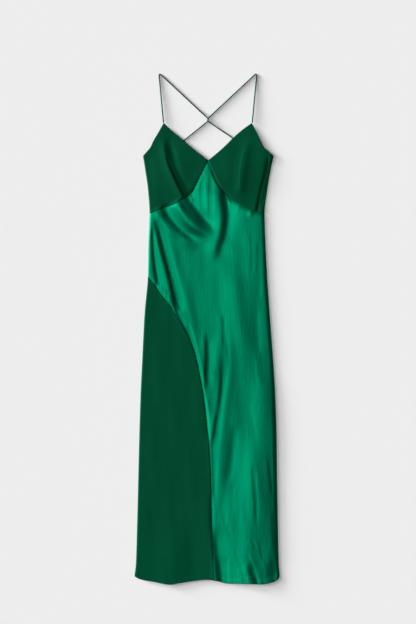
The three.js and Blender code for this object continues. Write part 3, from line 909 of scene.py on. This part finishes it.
panel_tip = np.array(
    [
        [left_side(SKIRT_POINT_LEVEL), SKIRT_POINT_LEVEL],
        [panel_seam[0][0] + PANEL_POINT, SKIRT_POINT_LEVEL],
    ]
)
panel_left = line_between(SKIRT_POINT_LEVEL, HEM_LEVEL, left_side)
panel_right = np.concatenate([panel_tip[1:], panel_seam[1:]])
panel_bottom = hem_between(HEM[0][0], SEAM_END)
crepe_points = four_sided(panel_tip, panel_bottom, panel_left, panel_right, CREPE_STEPS)
crepe_skirt = front_piece("skirt_panel_crepe", crepe_points, "skirt", crepe)
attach(crepe_skirt, "root")
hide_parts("crepe_skirt")

# The back, one plain full-length piece with its glossy side out, sewn to the front at both sides. It lies
# flat on the floor, a little inside the front's edges, so that it hardly shows.
BACK_INSET = 0.5
BACK_CLOTH = 0.8
BACK_STEPS = (7, 7)
# Top edge of the back: place across, height
BACK_NECK = [
    (-180, 484.4),
    (-110, 470),
    (3, 452),
    (116, 470),
    (187, 484.4),
]

back_left = line_between(UNDERARM_LEVEL, HEM_LEVEL, lambda y: left_side(y) + BACK_INSET)
back_right = line_between(UNDERARM_LEVEL, HEM_LEVEL, lambda y: right_side(y) - BACK_INSET)
neck_across = np.linspace(back_left[0][0], back_right[0][0], LINE_STEPS)
back_top = np.column_stack([neck_across, curve_through(BACK_NECK)(neck_across)])
back_bottom = hem_between(back_left[-1][0], back_right[-1][0])
back_points = four_sided(back_top, back_bottom, back_left, back_right, BACK_STEPS)
flat = np.zeros(back_points.shape[:2])
back = shell("back_satin", back_points, flat, flat + BACK_CLOTH, satin)
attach(back, "root")
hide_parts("back")

# The two straps, bias tubes of the crepe turned right side out, 3.2 mm thick. Each is sewn into the point
# of its cup, runs over the shoulder, crosses the other at the back and is sewn to the back's top edge.

# Thickness, and half of it out to a corner of the solids' eight-sided tube, whose middle line this follows
STRAP = 3.2
STRAP_SIDES = 8
STRAP_CORNER = STRAP / 2 / math.cos(math.pi / STRAP_SIDES)
STRAP_GAP = 0.36
# Where each strap starts, turns, crosses the other, goes under the far cup and ends
STRAP_POINTS = {"left": (-121.9, 577), "right": (126.6, 577)}
STRAP_TURNS = {"left": (-132.6, 713.8), "right": (137.4, 713.8)}
STRAP_CROSSING = (2.2, 585.4)
CROSSING_RUN = 7.5
STRAP_UNDER_CUP = {"left": (-65.8, 526.4), "right": (72.8, 533.4)}
BACK_STRAP_ENDS = {"left": -124, "right": 140}
# Places just before and after the turn, from its tip
TURN_IN = (1.4, 5.8)
TURN_OUT = (5.4, 3.6)
# Shares of each leg where it has further places
LEG_DOWN = (0.12, 0.5, 0.9)
CLIMB = (0.1, 0.5, 0.82, 0.97)
DESCENT = (0.08, 0.45, 1)
CURVE_STEPS = 24
STRAP_RINGS = 220
STRAP_ROUND = 16
# The ends narrow where they go into their seams
TAPER_RUN = 5.0
TAPER = 0.35


def strap_route(side, far, over_other):
    """Points down the middle of a strap, the ones that the solids follow."""
    on_floor = STRAP_CORNER
    over = on_floor + (2 * STRAP_CORNER + LAYER_GAP if over_other else 0)
    point, turn = STRAP_POINTS[side], STRAP_TURNS[side]
    outward = -1 if side == "left" else 1
    on_cup = float(drape(np.array(point[0]), np.array(point[1]))) + CLOTH / 2
    foot = (point[0], point[1] + STRAP_GAP)
    turn_in = (turn[0] + outward * TURN_IN[0], turn[1] - TURN_IN[1])
    turn_out = (turn[0] - outward * TURN_OUT[0], turn[1] - TURN_OUT[1])
    meet = (STRAP_CROSSING[0], STRAP_CROSSING[1] + CROSSING_RUN / 2)
    part = (STRAP_CROSSING[0], STRAP_CROSSING[1] - CROSSING_RUN / 2)
    under = STRAP_UNDER_CUP[far]
    end_x = BACK_STRAP_ENDS[far]
    end = (end_x, float(curve_through(BACK_NECK)(end_x)) + STRAP_GAP + STRAP / 2)

    def on_way(start, stop, share, height):
        return (start[0] + (stop[0] - start[0]) * share, start[1] + (stop[1] - start[1]) * share, height)

    def lower(share):
        return on_cup + (on_floor - on_cup) * share

    return [
        on_way(foot, turn_in, 0, on_cup),
        on_way(foot, turn_in, LEG_DOWN[0], lower(LEG_DOWN[0])),
        on_way(foot, turn_in, LEG_DOWN[1], lower(LEG_DOWN[1])),
        on_way(foot, turn_in, LEG_DOWN[2], on_floor),
        (*turn_in, on_floor),
        (*turn, on_floor),
        (*turn_out, on_floor),
        on_way(turn_out, meet, CLIMB[0], on_floor),
        on_way(turn_out, meet, CLIMB[1], on_floor),
        on_way(turn_out, meet, CLIMB[2], on_floor),
        on_way(turn_out, meet, CLIMB[3], over),
        (*meet, over),
        (*part, over),
        on_way(part, under, DESCENT[0], over),
        on_way(part, under, DESCENT[1], on_floor),
        on_way(part, under, DESCENT[2], on_floor),
        (*end, on_floor),
    ]


def between(start, stop, from_knot, to_knot, t):
    """A place on the line from start to stop, by its knots."""
    return start + (stop - start) * (t - from_knot) / (to_knot - from_knot)


def through_points(points, count):
    """A smooth curve through points, at even steps, that stays above the floor."""
    points = np.array(points, float)
    first = 2 * points[0] - points[1]
    last = 2 * points[-1] - points[-2]
    line = np.vstack([first, points, last])
    knots = np.concatenate([[0], np.cumsum(np.linalg.norm(np.diff(line, axis=0), axis=1) ** 0.5)])
    out = []
    for i in range(1, len(line) - 2):
        k = knots[i - 1 : i + 3]
        p = line[i - 1 : i + 3]
        for t in np.linspace(k[1], k[2], CURVE_STEPS, endpoint=False):
            a = [between(p[j], p[j + 1], k[j], k[j + 1], t) for j in range(3)]
            b = [between(a[j], a[j + 1], k[j], k[j + 2], t) for j in range(2)]
            out.append(between(b[0], b[1], k[1], k[2], t))
    out = np.vstack([out, points[-1]])
    out[:, 2] = np.maximum(out[:, 2], STRAP_CORNER)
    runs = np.concatenate([[0], np.cumsum(np.linalg.norm(np.diff(out, axis=0), axis=1))])
    even = np.linspace(0, runs[-1], count)
    return np.column_stack([np.interp(even, runs, out[:, i]) for i in range(3)]), even


def new_tree(name, inputs):
    """A geometry tree with named inputs of these kinds, and its first node."""
    tree = bpy.data.node_groups.new(name, "GeometryNodeTree")
    for title, kind in inputs.items():
        tree.interface.new_socket(title, in_out="INPUT", socket_type="NodeSocket" + kind)
    tree.interface.new_socket("Geometry", in_out="OUTPUT", socket_type="NodeSocketGeometry")
    return tree, add_node(tree, "NodeGroupInput")


def end_tree(tree, made, material):
    """Ends a geometry tree with a real mesh, shaded smooth, in its material."""
    real = add_node(tree, "GeometryNodeRealizeInstances", {"Geometry": made})
    even = add_node(tree, "GeometryNodeSetShadeSmooth", {"Geometry": real.outputs[0]})
    finished = add_node(
        tree, "GeometryNodeSetMaterial", {"Geometry": even.outputs[0], "Material": material}
    )
    add_node(tree, "NodeGroupOutput", {"Geometry": finished.outputs[0]})


def tube_tree():
    """Geometry nodes that sweep a round section along a curve, thinner where its radius is."""
    tree, start = new_tree(
        "rolled_tube", {"Geometry": "Geometry", "Radius": "Float", "Sides": "Int", "Material": "Material"}
    )
    section = add_node(
        tree,
        "GeometryNodeCurvePrimitiveCircle",
        {"Resolution": start.outputs["Sides"], "Radius": start.outputs["Radius"]},
    )
    swept = add_node(
        tree,
        "GeometryNodeCurveToMesh",
        {"Curve": start.outputs["Geometry"], "Profile Curve": section.outputs["Curve"], "Fill Caps": True},
    )
    end_tree(tree, swept.outputs[0], start.outputs["Material"])
    return tree


def set_inputs(modifier, values):
    """Sets a node modifier's inputs by their identifiers."""
    for socket in modifier.node_group.interface.items_tree:
        if socket.in_out == "INPUT" and socket.name in values:
            modifier[socket.identifier] = values[socket.name]


def made_mesh(name, source):
    """The plain mesh that an object's modifiers make, in an object of its own. The source is removed."""
    bpy.context.view_layer.update()
    graph = bpy.context.evaluated_depsgraph_get()
    mesh = bpy.data.meshes.new_from_object(source.evaluated_get(graph))
    mesh.name = name
    bpy.data.objects.remove(source)
    return link(bpy.data.objects.new(name, mesh))


def line_object(name, places):
    """A curve object of straight runs through places in metres."""
    data = bpy.data.curves.new(name, "CURVE")
    data.dimensions = "3D"
    spline = data.splines.new("POLY")
    spline.points.add(len(places) - 1)
    for point, place in zip(spline.points, places):
        point.co = (*place, 1)
    return link(bpy.data.objects.new(name, data))


rolled_tube = tube_tree()


def rolled_strap(name, side, far, over_other):
    """A strap as a mesh."""
    line, runs = through_points(strap_route(side, far, over_other), STRAP_RINGS)
    from_end = np.minimum(runs, runs[-1] - runs)
    source = line_object(name + "_line", line * MM)
    for point, gap in zip(source.data.splines[0].points, from_end):
        point.radius = TAPER + (1 - TAPER) * float(smooth(np.array(gap / TAPER_RUN)))
    modifier = source.modifiers.new("tube", "NODES")
    modifier.node_group = rolled_tube
    set_inputs(modifier, {"Radius": STRAP / 2 * MM, "Sides": STRAP_ROUND, "Material": crepe})
    strap = made_mesh(name, source)
    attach(strap, "root")
    return strap


left_strap = rolled_strap("left_strap_crepe", "left", "right", True)
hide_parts("strap_left")
right_strap = rolled_strap("right_strap_crepe", "right", "left", False)
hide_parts("strap_right")

# The hem's stitches. The hem is a narrow double turn, held by one row of fine machine stitches, in thread
# of the cloth's own colour on the crepe and on the satin.
STITCH_LENGTH = 2.4
STITCH_PITCH = 3.1
STITCH_THICK = 0.3
STITCH_SINK = 0.02
STITCH_RINGS = 7
STITCH_SIDES = 6
# A stitch swells like an arch. This share of the arch is cut off at each tip
STITCH_TIP = 0.08
# Gap between the stitches and the seams at both ends of each row
HEM_MARGIN = 4


def stitch_mesh():
    """One stitch, a short thread that thins at both ends, where it goes into the cloth."""
    points = []
    for i in range(STITCH_RINGS):
        t = i / (STITCH_RINGS - 1)
        thick = STITCH_THICK / 2 * math.sin(math.pi * (STITCH_TIP + (1 - 2 * STITCH_TIP) * t))
        for j in range(STITCH_SIDES):
            turn = 2 * math.pi * j / STITCH_SIDES
            points.append(((t - 0.5) * STITCH_LENGTH, thick * math.cos(turn), thick * math.sin(turn)))
    faces = []
    for i in range(STITCH_RINGS - 1):
        ring = i * STITCH_SIDES
        for j in range(STITCH_SIDES):
            k = (j + 1) % STITCH_SIDES
            faces.append((ring + j, ring + k, ring + STITCH_SIDES + k, ring + STITCH_SIDES + j))
    last = (STITCH_RINGS - 1) * STITCH_SIDES
    faces.append(tuple(range(STITCH_SIDES))[::-1])
    faces.append(tuple(last + j for j in range(STITCH_SIDES)))
    mesh = bpy.data.meshes.new("one_stitch")
    mesh.from_pydata((np.array(points) * MM).tolist(), [], faces)
    return bpy.data.objects.new("one_stitch", mesh)


def stitch_tree():
    """Geometry nodes that set one stitch after another along a line."""
    tree, start = new_tree(
        "stitch_row", {"Geometry": "Geometry", "Pitch": "Float", "Stitch": "Object", "Material": "Material"}
    )
    spaced = add_node(
        tree,
        "GeometryNodeCurveToPoints",
        {"Curve": start.outputs["Geometry"], "Length": start.outputs["Pitch"]},
        mode="LENGTH",
    )
    one = add_node(tree, "GeometryNodeObjectInfo", {"Object": start.outputs["Stitch"]})
    turned = add_node(
        tree,
        "FunctionNodeAlignEulerToVector",
        {"Vector": spaced.outputs["Tangent"]},
        axis="X",
        pivot_axis="AUTO",
    )
    row = add_node(
        tree,
        "GeometryNodeInstanceOnPoints",
        {
            "Points": spaced.outputs["Points"],
            "Instance": one.outputs["Geometry"],
            "Rotation": turned.outputs[0],
        },
    )
    end_tree(tree, row.outputs[0], start.outputs["Material"])
    return tree


one_stitch = link(stitch_mesh())
stitch_row = stitch_tree()


def stitches(name, line, piece, material):
    """A row of stitches on the front along a line in the plan."""
    x, y = line.T
    z = front_top(x, y, piece) - STITCH_SINK
    source = line_object(name + "_line", np.column_stack([x, y, z]) * MM)
    modifier = source.modifiers.new("stitches", "NODES")
    modifier.node_group = stitch_row
    set_inputs(modifier, {"Pitch": STITCH_PITCH * MM, "Stitch": one_stitch, "Material": material})
    row = made_mesh(name, source)
    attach(row, "root")


def hem_line(left, right):
    """The row of stitches above the hem."""
    x = np.linspace(left, right, 2 * LINE_STEPS)
    return np.column_stack([x, bend_to_hem(x, np.full(x.shape, HEM_LEVEL + HEM_DEPTH))])


crepe_hem = hem_line(HEM[0][0] + HEM_MARGIN, SEAM_END - HEM_MARGIN)
stitches("hem_stitches_crepe", crepe_hem, "skirt", crepe)
satin_hem = hem_line(SEAM_END + HEM_MARGIN, HEM[-1][0] - HEM_MARGIN)
stitches("hem_stitches_satin", satin_hem, "satin", satin)
bpy.data.objects.remove(one_stitch)
